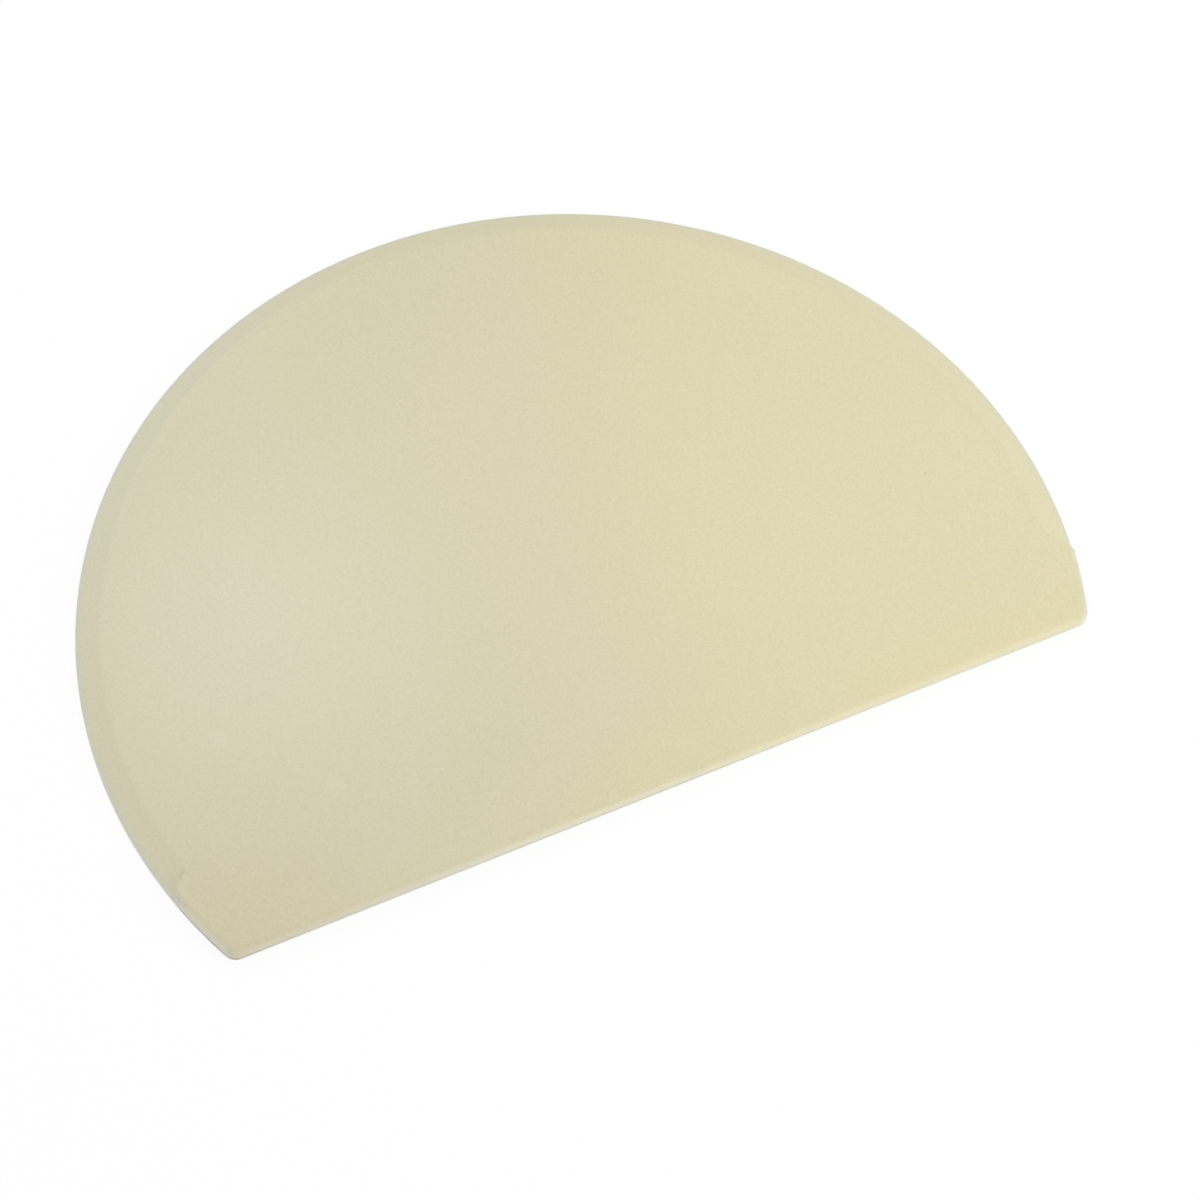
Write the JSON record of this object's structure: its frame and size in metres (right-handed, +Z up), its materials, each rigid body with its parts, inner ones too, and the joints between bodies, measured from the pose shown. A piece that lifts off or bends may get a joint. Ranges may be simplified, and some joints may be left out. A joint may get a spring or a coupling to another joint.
{
  "type": "bowl scraper",
  "caption": "Half-round flexible plastic bowl scraper: a thin plate with a bevelled curved scraping edge and a thick straight edge rounded for the hand.",
  "frame": {"origin": "middle of the footprint, on the flat underside", "axes": "+Z up out of the bevelled face; +X along the straight edge; +Y from the straight edge towards the curved edge"},
  "size_m": [0.148, 0.103, 0.0022],
  "materials": {
    "ivory_plastic": "fine matt moulded surface, plain ivory all through"
  },
  "bodies": {
    "root": {"scraper": "ivory_plastic"}
  },
  "joints": []
}
